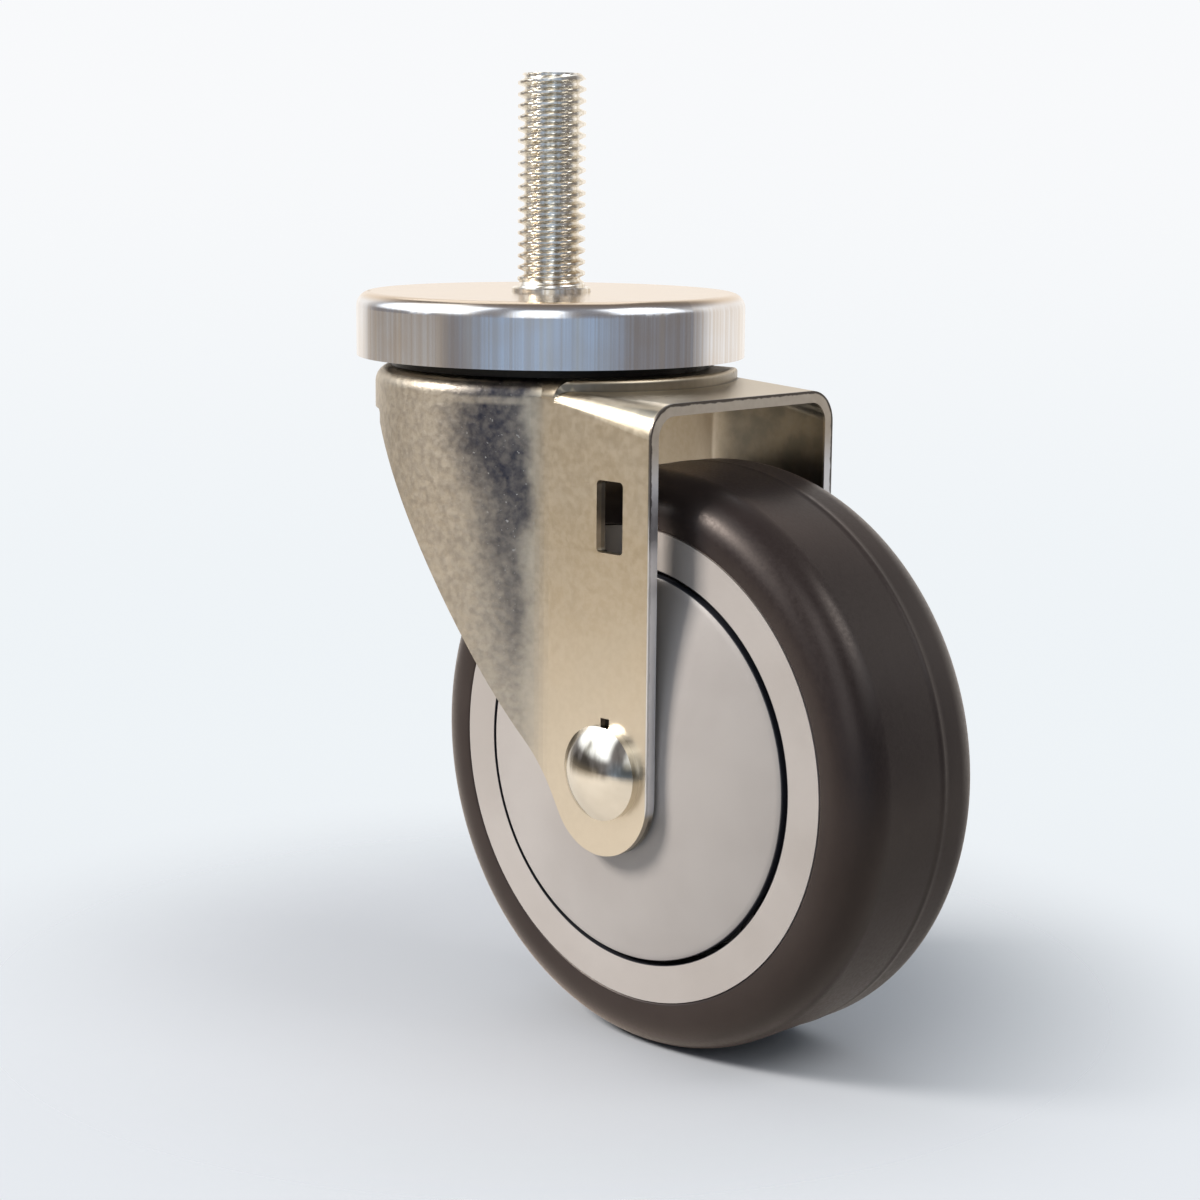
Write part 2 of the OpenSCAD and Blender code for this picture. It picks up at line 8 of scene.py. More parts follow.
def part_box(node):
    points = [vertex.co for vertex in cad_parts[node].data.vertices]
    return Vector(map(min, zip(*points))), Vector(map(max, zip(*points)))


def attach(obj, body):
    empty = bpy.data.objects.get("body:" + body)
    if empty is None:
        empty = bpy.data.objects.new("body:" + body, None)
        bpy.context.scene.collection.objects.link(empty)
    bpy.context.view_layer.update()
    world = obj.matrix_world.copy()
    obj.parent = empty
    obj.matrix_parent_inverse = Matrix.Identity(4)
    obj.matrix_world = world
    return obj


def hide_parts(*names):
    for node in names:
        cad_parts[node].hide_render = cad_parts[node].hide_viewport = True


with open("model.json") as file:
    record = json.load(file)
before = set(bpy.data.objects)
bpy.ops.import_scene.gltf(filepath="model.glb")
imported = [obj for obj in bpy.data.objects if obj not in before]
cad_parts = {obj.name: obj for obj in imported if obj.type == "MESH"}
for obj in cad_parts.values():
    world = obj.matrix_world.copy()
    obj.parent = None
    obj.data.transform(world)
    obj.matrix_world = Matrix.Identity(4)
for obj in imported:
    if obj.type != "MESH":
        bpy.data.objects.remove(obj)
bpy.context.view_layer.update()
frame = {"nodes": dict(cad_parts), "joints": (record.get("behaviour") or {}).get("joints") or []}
cad = frame["nodes"]


# Camera: half a metre from the castor, a little above the cap and 45 degrees round from the
# wheel's face. The camera looks at the swivel axis and the aim is moved down to the wheel.
photo_px = 1200
focal_px = 2583.4
sensor_mm = 36.0
nearest = 0.01
turn, tilt, roll = np.radians([44.63, 9.97, 0.51])
reach, aim_right, aim_up = 0.46101, 0.00877, -0.04385
cap_top, cap_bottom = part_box("cap")[1].z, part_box("cap")[0].z

back = Vector((np.sin(turn) * np.cos(tilt), -np.cos(turn) * np.cos(tilt), np.sin(tilt)))
level = Vector((np.cos(turn), np.sin(turn), 0))
upright = back.cross(level)
right = level * np.cos(roll) + upright * np.sin(roll)
up = upright * np.cos(roll) - level * np.sin(roll)
eye = back * reach + right * aim_right + up * aim_up + Vector((0, 0, cap_bottom - cap_top))

camera = bpy.data.objects.new("camera", bpy.data.cameras.new("camera"))
camera.data.lens = focal_px / photo_px * sensor_mm
camera.data.sensor_width = sensor_mm
camera.data.clip_start = nearest
camera.matrix_world = Matrix.Translation(eye) @ Matrix((right, up, back)).transposed().to_4x4()
bpy.context.scene.collection.objects.link(camera)
bpy.context.scene.camera = camera
bpy.context.scene.view_settings.view_transform = "Standard"


# Room: pale all round and a little greyer towards the floor, with a weak bluish fill. Polished
# metal shows a dim room in its place, with a bright paper sweep behind the castor, a bluish
# front and three tall bright windows at the left, in front and at the right.
def add_node(tree, kind, inputs=None, **options):
    """One shader node: options are its own settings, inputs are values or sockets to link."""
    made = tree.nodes.new("ShaderNode" + kind)
    for option, value in options.items():
        setattr(made, option, value)
    for socket, value in (inputs or {}).items():
        if isinstance(value, bpy.types.NodeSocket):
            tree.links.new(value, made.inputs[socket])
        else:
            made.inputs[socket].default_value = value
    return made


def fade(tree, value, start, end, low=0.0, high=1.0):
    """Smooth step of a value: low before start, high after end, an S-curve between them."""
    return add_node(tree, "MapRange", {0: value, 1: start, 2: end, 3: low, 4: high},
                    interpolation_type="SMOOTHSTEP").outputs[0]


def blend_colour(tree, share, first, second):
    """First colour where the share socket is 0, second where it is 1, and a mix between."""
    first, second = (colour if isinstance(colour, bpy.types.NodeSocket) else (*colour, 1)
                     for colour in (first, second))
    return add_node(tree, "Mix", {0: share, 6: first, 7: second}, data_type="RGBA").outputs[2]


def work_out(tree, operation, first, second=0.5, third=0.5):
    """One arithmetic step on values or sockets."""
    return add_node(tree, "Math", {0: first, 1: second, 2: third}, operation=operation).outputs[0]


def times(tree, first, *others):
    """Product of values or sockets, one after another."""
    for other in others:
        first = work_out(tree, "MULTIPLY", first, other)
    return first


room_floor, room_low, room_high = (0.80, 0.83, 0.87), (0.86, 0.90, 0.93), (0.94, 0.95, 0.965)
low_edge, high_edge = (-0.36, -0.22), (-0.20, 0.03)
fill_colour, fill_strength = (0.80, 0.89, 1.0), 0.24
dim_room = (0.27, 0.26, 0.27)
window_light = (1.9, 2.0, 2.1)

room = bpy.data.worlds.new("pale_room")
bpy.context.scene.world = room
room.use_nodes = True
tree = room.node_tree
tree.nodes.clear()
direction = add_node(tree, "SeparateXYZ", {0: add_node(tree, "TexCoord").outputs["Generated"]})
bearing = work_out(tree, "ARCTAN2", direction.outputs["Y"], direction.outputs["X"])
rise = work_out(tree, "ARCSINE", direction.outputs["Z"])


def room_patch(middle, half_width, low, high, soft):
    """Share of a soft-edged part of the room: 1 within half_width of the middle azimuth and
    between two elevations, 0 outside them, all in degrees."""
    middle, half_width, low, high, soft = np.radians([middle, half_width, low, high, soft])
    offset = work_out(tree, "SUBTRACT", bearing, middle)
    offset = work_out(tree, "ABSOLUTE", work_out(tree, "WRAP", offset, np.pi, -np.pi))
    return times(tree, fade(tree, offset, half_width - soft, half_width + soft, 1, 0),
                 fade(tree, rise, low - soft, low + soft),
                 fade(tree, rise, high - soft, high + soft, 1, 0))


paper_sweep, warm_left = (118, 62, -100, 34, 12), (-145, 34, -100, -3, 5)
blue_front, left_window = (-48, 42, -100, 6, 14), (-132, 38, 12, 64, 6)
front_window, right_window = (-52, 15, 5, 55, 6), (22, 25, 20, 60, 6)
mirrored = dim_room
for shape, light in ((paper_sweep, (1.14, 1.08, 1.01)), (warm_left, (0.62, 0.56, 0.49)),
                     (blue_front, (0.41, 0.51, 0.66)), (left_window, window_light),
                     (front_window, window_light), (right_window, window_light)):
    mirrored = blend_colour(tree, room_patch(*shape), mirrored, light)

path = add_node(tree, "LightPath")
pale = blend_colour(tree, fade(tree, direction.outputs["Z"], *low_edge), room_floor, room_low)
pale = blend_colour(tree, fade(tree, direction.outputs["Z"], *high_edge), pale, room_high)
pale = blend_colour(tree, path.outputs["Is Glossy Ray"], pale, mirrored)
shown = add_node(tree, "Background", {0: pale})
fill = add_node(tree, "Background", {0: (*fill_colour, 1), 1: fill_strength})
seen = work_out(tree, "MAXIMUM", path.outputs["Is Camera Ray"], path.outputs["Is Glossy Ray"])
seen = work_out(tree, "MAXIMUM", seen, path.outputs["Is Transmission Ray"])
mixed = add_node(tree, "MixShader", {0: seen, 1: fill.outputs[0], 2: shown.outputs[0]})
add_node(tree, "OutputWorld", {0: mixed.outputs[0]})


# Floor: a round sheet of pale paper under the wheel that takes the castor's shadow and fades
# into the room at its edge. Metal mirrors it warmer and wider than the camera sees it.
def mesh_piece(name, points, faces):
    """Mesh object at the origin, made from whole arrays of points and quads."""
    mesh = bpy.data.meshes.new(name)
    mesh.from_pydata(points, [], faces)
    piece = bpy.data.objects.new(name, mesh)
    bpy.context.scene.collection.objects.link(piece)
    return piece


def round_faces(rows, columns, closed=False):
    """Quads of a grid of points, stored row by row, whose rows go all the way round. A closed
    grid also joins its last row to its first."""
    row, column = np.arange(rows if closed else rows - 1), np.arange(columns)
    row, column = (side.ravel() for side in np.meshgrid(row, column, indexing="ij"))
    next_row, next_column = (row + 1) % rows, (column + 1) % columns
    corners = [row * columns + column, row * columns + next_column,
               next_row * columns + next_column, next_row * columns + column]
    return np.stack(corners, 1)


def object_place(tree):
    """Place in the object's own metres, as a vector socket."""
    return add_node(tree, "TexCoord").outputs["Object"]


def flattened(tree, place):
    """Vector socket from the swivel axis straight out to the place."""
    return add_node(tree, "VectorMath", {0: place, 1: (1, 1, 0)}, operation="MULTIPLY").outputs[0]


def length_of(tree, vector):
    """Length of a vector socket."""
    return add_node(tree, "VectorMath", {0: vector}, operation="LENGTH").outputs["Value"]


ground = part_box("tyre")[0].z
floor_reach = 1.2
floor_rings, floor_spokes = 13, 64
floor_colour, warm_floor = (0.62, 0.65, 0.70), (0.96, 0.90, 0.82)
fade_near, fade_far = 0.045, 0.14
mirrored_share = 0.27

ring_radii = np.linspace(0, floor_reach, floor_rings)
around = np.linspace(0, 2 * np.pi, floor_spokes, endpoint=False)
floor_points = np.stack([np.outer(ring_radii, np.cos(around)), np.outer(ring_radii, np.sin(around)),
                         np.full((floor_rings, floor_spokes), ground)], 2).reshape(-1, 3)
floor = mesh_piece("floor", floor_points, round_faces(floor_rings, floor_spokes))

paper = bpy.data.materials.new("paper")
paper.use_nodes = True
tree = paper.node_tree
tree.nodes.clear()
from_axis = length_of(tree, flattened(tree, object_place(tree)))
shine = add_node(tree, "LightPath").outputs["Is Glossy Ray"]
nearer = work_out(tree, "MULTIPLY_ADD", shine, mirrored_share - 1, 1.0)
edge = fade(tree, times(tree, from_axis, nearer), fade_near, fade_far)
sheet = add_node(tree, "BsdfDiffuse", {0: blend_colour(tree, shine, floor_colour, warm_floor)})
clear = add_node(tree, "BsdfTransparent")
mixed = add_node(tree, "MixShader", {0: edge, 1: sheet.outputs[0], 2: clear.outputs[0]})
add_node(tree, "OutputMaterial", {0: mixed.outputs[0]})
floor.data.materials.append(paper)


# Lamps: four soft square lamps overhead, all turned to the middle of the castor. The strong one
# stands at the left, and weaker ones light the right, the back and the front.
lamp_middle = Vector((0.03, 0, -0.05))
lamp_distance = 0.75


def toward(azimuth, elevation):
    """Unit direction: azimuth in degrees from +X towards +Y, elevation in degrees above level."""
    turn, rise = np.radians([azimuth, elevation])
    return Vector((np.cos(turn) * np.cos(rise), np.sin(turn) * np.cos(rise), np.sin(rise)))


def soft_lamp(name, azimuth, elevation, size, power, colour):
    """Square area lamp that faces the middle of the castor."""
    lamp = bpy.data.objects.new(name, bpy.data.lights.new(name, "AREA"))
    lamp.data.size, lamp.data.energy, lamp.data.color = size, power, colour
    aim = toward(azimuth, elevation)
    lamp.location = lamp_middle + aim * lamp_distance
    lamp.rotation_euler = aim.to_track_quat("Z", "Y").to_euler()
    bpy.context.scene.collection.objects.link(lamp)


soft_lamp("left_lamp", 236, 35, 0.22, 6.3, (1.0, 0.95, 0.89))
soft_lamp("front_lamp", -52, 40, 0.24, 0.25, (1.0, 0.98, 0.95))
soft_lamp("right_lamp", 22, 45, 0.28, 1.15, (1.0, 0.97, 0.92))
soft_lamp("rear_lamp", 145, 50, 0.40, 0.6, (0.93, 0.97, 1.0))


# Stem: one turned steel piece, zinc plated. It has the rolled thread that screws into the leg,
# a root collar, a flange under the cap, the kingpin and the head that is riveted over the cup.
thread_pitch, thread_depth = 0.002, 0.00115
crest_share, root_share = 0.24, 0.26
thread_rows, stem_columns = 373, 96
stem_bottom, stem_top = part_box("stem")[0].z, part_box("stem")[1].z
stem_r, end_chamfer = 0.006, 0.001
root_collar_r, root_collar_z, collar_edge = 0.007, 0.0008, 0.0002
flange_r, flange_top = 0.015, -0.002
kingpin_r, rivet_r, rivet_edge = 0.0065, 0.010, 0.0012
race_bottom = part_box("cap_race")[0].z
cup_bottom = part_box("lower_cup")[0].z


def thread_radius(z, angle):
    """Radius of a rolled thread: a trapezoid wave of the phase z/pitch - angle/turn, whose
    flanks are straight and whose crest and root are flat, faded out at both ends."""
    phase = (z / thread_pitch - angle / (2 * np.pi)) % 1.0
    from_crest = np.abs(phase - 0.5) * 2
    cut = np.clip((from_crest - crest_share) / (1 - crest_share - root_share), 0, 1)
    fade_in = np.clip((z - root_collar_z) / thread_pitch, 0, 1)
    chamfer = np.clip((stem_top - z) / end_chamfer, 0, 1)
    outside = stem_r - end_chamfer * (1 - chamfer)
    return np.minimum(outside, stem_r - thread_depth * cut * fade_in)


def lathe(name, radii, heights, columns, closed=False, weld=1e-7):
    """Profile of radii and heights turned round Z; the profile is open from pole to pole, or
    closed like a ring's section. Radii may be a grid with one column for each angle."""
    angle = np.linspace(0, 2 * np.pi, columns, endpoint=False)
    radii = np.asarray(radii, float).reshape(len(heights), -1) * np.ones(columns)
    points = np.stack([radii * np.cos(angle), radii * np.sin(angle),
                       np.repeat(np.asarray(heights, float)[:, None], columns, 1)], 2)
    piece = mesh_piece(name, points.reshape(-1, 3), round_faces(len(heights), columns, closed))
    joined = bmesh.new()
    joined.from_mesh(piece.data)
    bmesh.ops.remove_doubles(joined, verts=joined.verts, dist=weld)
    bmesh.ops.recalc_face_normals(joined, faces=joined.faces)
    joined.to_mesh(piece.data)
    joined.free()
    return piece


def soften(piece, angle):
    """Smooth shading that keeps edges sharper than the angle in degrees."""
    piece.data.polygons.foreach_set("use_smooth", [True] * len(piece.data.polygons))
    piece.data.set_sharp_from_angle(angle=np.radians(angle))


def new_surface(name, colour, metallic, roughness):
    """Material with one Principled shader, its constant values on the shader's own sockets."""
    surface = bpy.data.materials.new(name)
    surface.use_nodes = True
    shader = surface.node_tree.nodes["Principled BSDF"]
    shader.inputs["Base Color"].default_value = (*colour, 1)
    shader.inputs["Metallic"].default_value = metallic
    shader.inputs["Roughness"].default_value = roughness
    return surface, surface.node_tree, shader


def cloud(tree, place, scale, detail=3.0, stretch=(1, 1, 1)):
    """Noise value around 0.5 at a scale in cells a metre, stretched along the axes."""
    mapped = add_node(tree, "Mapping", {"Vector": place, "Scale": stretch}).outputs[0]
    return add_node(tree, "TexNoise", {"Vector": mapped, "Scale": scale, "Detail": detail}).outputs[0]


def set_colour(tree, shader, colour):
    """Colour of the surface, from a colour socket."""
    tree.links.new(colour, shader.inputs["Base Color"])


def set_gloss(tree, shader, pattern, low, high):
    """Roughness of the surface: low where a cloud is thin, high where it is thick."""
    tree.links.new(fade(tree, pattern, 0.3, 0.7, low, high), shader.inputs["Roughness"])


profile = np.array([
    (0, stem_bottom), (rivet_r - rivet_edge, stem_bottom), (rivet_r, stem_bottom + rivet_edge),
    (rivet_r, cup_bottom), (kingpin_r, cup_bottom), (kingpin_r, race_bottom),
    (flange_r, race_bottom), (flange_r, flange_top), (root_collar_r, flange_top),
    (root_collar_r, root_collar_z - collar_edge), (root_collar_r - collar_edge, root_collar_z),
    (stem_r, root_collar_z)])
thread_z = np.linspace(root_collar_z, stem_top, thread_rows)
angle = np.linspace(0, 2 * np.pi, stem_columns, endpoint=False)
thread_r = thread_radius(thread_z[:, None], angle[None, :])
stem_radii = np.vstack([np.repeat(profile[:, :1], stem_columns, 1), thread_r, np.zeros((1, stem_columns))])
stem_z = np.concatenate([profile[:, 1], thread_z, [stem_top]])
stem = lathe("threaded_stem", stem_radii, stem_z, stem_columns)
soften(stem, 40)

bright_zinc, tree, shader = new_surface("bright_zinc", (0.80, 0.77, 0.70), 1.0, 0.22)
place = object_place(tree)
streak = cloud(tree, place, 900, 3, (1, 1, 0.06))
speck = cloud(tree, place, 2600, 2)
set_colour(tree, shader, blend_colour(tree, fade(tree, streak, 0.35, 0.65),
                                      (0.66, 0.60, 0.50), (0.86, 0.84, 0.79)))
set_gloss(tree, shader, speck, 0.16, 0.26)
stem.data.materials.append(bright_zinc)
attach(stem, "swivel_head")
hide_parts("stem")


# Cap: a drawn steel cup, zinc plated and brushed round its rim, pressed down on the stem's
# collar over the upper race. Its top is painted browner and its rim bluer, as painted reflection
# colour of the warm room on the top and of the bluish front and highlights on the rim.
def finish_node(node, surface):
    """Gives a CAD node its material in every slot that it has."""
    for slot in cad[node].material_slots:
        slot.material = surface


rim_edge, top_edge = (-0.0024, -0.0010), (-0.0014, -0.0003)

brushed_zinc, tree, shader = new_surface("brushed_zinc", (0.66, 0.62, 0.57), 1.0, 0.28)
place = object_place(tree)
outward = add_node(tree, "VectorMath", {0: flattened(tree, place)}, operation="NORMALIZE").outputs[0]
height = add_node(tree, "SeparateXYZ", {0: place}).outputs["Z"]
rim = fade(tree, height, *rim_edge, 1, 0)
top = fade(tree, height, *top_edge)
fine = cloud(tree, outward, 48, 2)
broad = cloud(tree, outward, 11, 3)
blotch = cloud(tree, place, 110, 2)
brush = times(tree, rim, fade(tree, fine, 0.30, 0.70, 0.0, 0.6))
light_band = times(tree, rim, fade(tree, broad, 0.55, 0.68, 0.0, 0.6))
# Painted reflection colour: bluish grey on the rim and fillet, warm brown on the top
tint = blend_colour(tree, top, (0.71, 0.73, 0.77), (0.59, 0.468, 0.345))
tint = blend_colour(tree, brush, tint, (0.54, 0.48, 0.42))
tint = blend_colour(tree, light_band, tint, (0.72, 0.67, 0.60))
tint = blend_colour(tree, fade(tree, blotch, 0.4, 0.7, 0.0, 0.3), tint, (0.60, 0.51, 0.42))
set_colour(tree, shader, tint)
tree.links.new(work_out(tree, "MULTIPLY_ADD", fine, 0.08, 0.14), shader.inputs["Roughness"])
finish_node("cap", brushed_zinc)


# Race rings: hardened steel rings with a ball track, pressed into the cap and the crown. Their
# colour is painted near black as painted shade, for the deep shadow in the gap between cap and
# crown, where they show only as a dark line.
def relief(tree, shader, height, depth):
    """Bump of the given depth in metres from a height between 0 and 1."""
    bump = add_node(tree, "Bump", {"Height": height, "Distance": depth, "Strength": 1.0})
    tree.links.new(bump.outputs[0], shader.inputs["Normal"])


def mottled(name, plain, metallic, roughness, cells, dark, light, gloss=None, depth=None):
    """Material with one cloud of cells in it, which takes its colour from dark to light and,
    where they are given, its roughness between two values and its bump to a depth."""
    surface, tree, shader = new_surface(name, plain, metallic, roughness)
    grain = cloud(tree, object_place(tree), *cells)
    set_colour(tree, shader, blend_colour(tree, grain, dark, light))
    if gloss:
        set_gloss(tree, shader, grain, *gloss)
    if depth:
        relief(tree, shader, grain, depth)
    return surface


# Painted shade: near black steel for the shadow in the gap under the cap
race_steel_painted_shade = mottled("race_steel_painted_shade", (0.03, 0.028, 0.026), 1.0, 0.5, (220, 3),
                        (0.015, 0.014, 0.012), (0.045, 0.042, 0.038), gloss=(0.42, 0.62))
for node in ("cap_race", "crown_race"):
    finish_node(node, race_steel_painted_shade)


# Balls: ground and polished steel balls with a thin film of oil. Those of the swivel head lie
# loose in its two races, and those of the wheel's bearings are held by cages.
polished_balls = mottled("polished_balls", (0.80, 0.80, 0.80), 1.0, 0.08, (500, 2),
                         (0.70, 0.69, 0.66), (0.86, 0.86, 0.86), gloss=(0.05, 0.14))
for node in ("upper_balls", "lower_balls", "bearing_balls"):
    finish_node(node, polished_balls)


# Lower cup: a dish pressed from plated steel, with the lower ball track in it. The stem's
# riveted head holds it up under the crown.
cup_zinc = mottled("cup_zinc", (0.60, 0.58, 0.53), 1.0, 0.32, (420, 4),
                   (0.50, 0.47, 0.41), (0.68, 0.66, 0.61), gloss=(0.24, 0.42), depth=0.00001)
finish_node("lower_cup", cup_zinc)


# Fork: one pressed sheet of 2 mm steel, zinc plated with a warm cast, its sheared edges a little
# rounded. The plating is smooth on the flat legs and crackled on the round crown. Beside the
# creases it is painted dark blue-grey, as painted reflection and painted shade.
leg_outer, front_x = 0.02285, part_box("fork")[1].x
crown_r, bend_outer, deck_top = 0.0312, 0.0056, -0.01546
deck_slope, deck_inside = 0.038, (-0.0149, -0.0145)
table_foot_r, table_foot_z, table_front = 0.0335, (-0.0160, -0.0156), (0.0215, 0.0240)
sheared_edge = 0.00042
outer_skin = 0.001
wander = 0.010

warm_zinc, tree, shader = new_surface("warm_zinc", (0.52, 0.45, 0.34), 1.0, 0.36)
place = object_place(tree)
axes = add_node(tree, "SeparateXYZ", {0: place})
forward, drop = axes.outputs["X"], axes.outputs["Z"]
beside = work_out(tree, "ABSOLUTE", axes.outputs["Y"])
from_axis = length_of(tree, flattened(tree, place))
grain = cloud(tree, place, 900, 4)
crackle = cloud(tree, place, 700, 5)
blot = cloud(tree, place, 190, 4)
drift = cloud(tree, place, 70, 2)
wavering = work_out(tree, "ADD", forward, work_out(tree, "MULTIPLY_ADD", drift, wander, -wander / 2))

# Plain plating, browner high on the legs and paler at their tips, with a slow drift in it
leg_tone = (-0.035, -0.085)
tint = blend_colour(tree, fade(tree, drop, *leg_tone), (0.47, 0.395, 0.285), (0.59, 0.53, 0.44))
tint = blend_colour(tree, fade(tree, drift, 0.35, 0.65, 0.0, 0.35), tint, (0.50, 0.45, 0.37))

# Round crown, duller than the legs and crackled, on the outside of the sheet only
crown_front, leg_start = (0.0165, 0.0235), 0.020
outside = times(tree, work_out(tree, "GREATER_THAN", beside, leg_outer - outer_skin),
                work_out(tree, "GREATER_THAN", forward, leg_start))
outside = work_out(tree, "MAXIMUM", outside,
                   work_out(tree, "GREATER_THAN", from_axis, crown_r - outer_skin))
round_side = times(tree, fade(tree, wavering, *crown_front, 1, 0), outside)
rough_skin = times(tree, round_side, fade(tree, crackle, 0.36, 0.66))
tint = blend_colour(tree, times(tree, round_side, 0.55), tint, (0.36, 0.325, 0.28))
tint = blend_colour(tree, times(tree, rough_skin, 0.35), tint, (0.25, 0.225, 0.20))

# Painted dark reflection beside each crease, and painted shade where it reaches up over the
# shoulder under the cap. Its rear edge slants forward as it goes down, its front edge is the
# crease, a painted highlight band crosses it under the shoulder, and small painted glints show in it
dark_reflection_rear, crease = (0.0030, 0.0135), (0.0182, 0.0214)
dark_reflection_foot, dark_reflection_thin = (-0.085, -0.050), (-0.045, -0.026)
highlight_drop, highlight_half = 0.0166, (0.0002, 0.0010)
shoulder_low, shoulder_width = -0.0148, 0.0055
slant_start, slant_rate = 0.02, 0.22
slant = work_out(tree, "MULTIPLY_ADD", work_out(tree, "ADD", drop, slant_start), slant_rate, wavering)
# Painted highlight: a paler band across the dark patch under the shoulder
highlight_band = work_out(tree, "ABSOLUTE", work_out(tree, "ADD", drop, highlight_drop))
shoulder = times(tree, work_out(tree, "GREATER_THAN", drop, shoulder_low),
                 work_out(tree, "GREATER_THAN", from_axis, crown_r - shoulder_width))
dark_reflection_and_shade = times(tree, fade(tree, slant, *dark_reflection_rear), fade(tree, wavering, *crease, 1, 0),
              fade(tree, drop, *dark_reflection_foot), fade(tree, drop, *dark_reflection_thin, 0.82, 1),
              fade(tree, highlight_band, *highlight_half, 0.35, 1), work_out(tree, "MAXIMUM", outside, shoulder),
              fade(tree, blot, 0.30, 0.60, 0.80, 1.0), fade(tree, crackle, 0.34, 0.64, 0.84, 1.0))
# Painted reflection and shade: dark blue-grey beside the crease
tint = blend_colour(tree, dark_reflection_and_shade, tint, (0.038, 0.039, 0.054))
# Painted glints: small bright specks in the dark patch
painted_glints = times(tree, dark_reflection_and_shade, fade(tree, cloud(tree, place, 1500, 2), 0.68, 0.75))
tint = blend_colour(tree, painted_glints, tint, (0.42, 0.41, 0.39))

# Frosty grain over the whole plating, weak in the painted dark reflection and shade
frost = times(tree, fade(tree, grain, 0.3, 0.7, 0.0, 0.22),
              work_out(tree, "MULTIPLY_ADD", dark_reflection_and_shade, -0.7, 1.0))
tint = blend_colour(tree, frost, tint, (0.66, 0.60, 0.50))

# Painted shade: a dark line in the crease at the foot of the raised table
shade_line_half = (0.0001, 0.0005)
painted_crease_shade = work_out(tree, "ABSOLUTE", work_out(tree, "SUBTRACT", from_axis, table_foot_r))
painted_crease_shade = times(tree, fade(tree, painted_crease_shade, *shade_line_half, 0.85, 0), fade(tree, forward, *table_front),
             fade(tree, drop, *table_foot_z))
tint = blend_colour(tree, painted_crease_shade, tint, (0.09, 0.08, 0.065))

# Painted shade on the inside of the legs and under the deck towards the front, darker there
inner_start, inner_end = (0.020, 0.026), (front_x - 0.0006, front_x - 0.0002)
inner_side = (leg_outer - 0.0012, leg_outer - 0.0010)
below_deck = work_out(tree, "MULTIPLY_ADD", forward, deck_slope, drop)
painted_inner_shade = times(tree, fade(tree, forward, *inner_start), fade(tree, beside, *inner_side, 1, 0),
                    fade(tree, below_deck, *deck_inside, 1, 0),
                    fade(tree, blot, 0.35, 0.65, 0.55, 0.85), fade(tree, forward, *inner_end, 1, 0))
tint = blend_colour(tree, painted_inner_shade, tint, (0.17, 0.165, 0.145))

# Sheared front face, bare steel down the legs and mostly plated across the deck, painted pale bluish as
# painted reflection of the room it faces
bare_legs, bare_face = (-0.030, -0.022), (front_x - 0.0004, front_x - 0.0001)
sheared_face_reflection = times(tree, fade(tree, forward, *bare_face), fade(tree, drop, *bare_legs, 1, 0.2))
tint = blend_colour(tree, sheared_face_reflection, tint, (0.86, 0.88, 0.92))

# An uneven dark line along the outer edge of the front face, faint down the legs
faint_edge_line, edge_line_face = (-0.040, -0.030), (front_x - 0.0005, front_x - 0.0002)
edge_line_edge, edge_line_wobble = (bend_outer - 0.00055, bend_outer - 0.00035), 0.0007
side_in = work_out(tree, "MAXIMUM", work_out(tree, "ADD", beside, bend_outer - leg_outer), 0.0)
top_in = work_out(tree, "MAXIMUM", work_out(tree, "ADD", drop, bend_outer - deck_top), 0.0)
from_bend = work_out(tree, "SQRT", work_out(tree, "ADD", times(tree, side_in, side_in),
                                            times(tree, top_in, top_in)))
uneven = work_out(tree, "MULTIPLY_ADD", crackle, edge_line_wobble, -edge_line_wobble / 2)
uneven = work_out(tree, "ADD", from_bend, uneven)
dark_edge_line = times(tree, fade(tree, uneven, *edge_line_edge), fade(tree, forward, *edge_line_face),
             fade(tree, drop, *faint_edge_line, 0.25, 0.9))
tint = blend_colour(tree, dark_edge_line, tint, (0.07, 0.06, 0.055))

set_colour(tree, shader, tint)
rough = work_out(tree, "MULTIPLY_ADD", round_side, 0.08, work_out(tree, "MULTIPLY_ADD", grain, 0.16, 0.26))
tree.links.new(rough, shader.inputs["Roughness"])
relief(tree, shader, work_out(tree, "MULTIPLY_ADD", rough_skin, 1.0, times(tree, grain, 0.4)), 0.00003)


def dressed_copy(node, name, merge=1e-6, flat_angle=0.3):
    """Copy of a CAD node's surface, its loose triangles joined and its flat faces made whole."""
    copy = bmesh.new()
    copy.from_mesh(cad[node].data)
    bmesh.ops.remove_doubles(copy, verts=copy.verts, dist=merge)
    bmesh.ops.dissolve_limit(copy, angle_limit=np.radians(flat_angle), verts=copy.verts, edges=copy.edges)
    bmesh.ops.recalc_face_normals(copy, faces=copy.faces)
    mesh = bpy.data.meshes.new(name)
    copy.to_mesh(mesh)
    copy.free()
    piece = bpy.data.objects.new(name, mesh)
    bpy.context.scene.collection.objects.link(piece)
    return piece


fork = dressed_copy("fork", "pressed_fork")
soften(fork, 30)
edge = fork.modifiers.new("sheared_edge", "BEVEL")
edge.width = sheared_edge
edge.segments = 3
edge.limit_method = "ANGLE"
edge.angle_limit = np.radians(40)
even = fork.modifiers.new("even_normals", "WEIGHTED_NORMAL")
even.keep_sharp = True
fork.data.materials.append(warm_zinc)
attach(fork, "fork_body")
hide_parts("fork")


# Axle bolt: turned steel with a domed head on the near side, polished as bright as chrome. Dark
# streaks over the upper half of the head are painted reflection of the dark room in front.
hub = Vector(frame["joints"][1]["pos_m"])
reflection_streak_foot = (-0.0010, 0.0012)

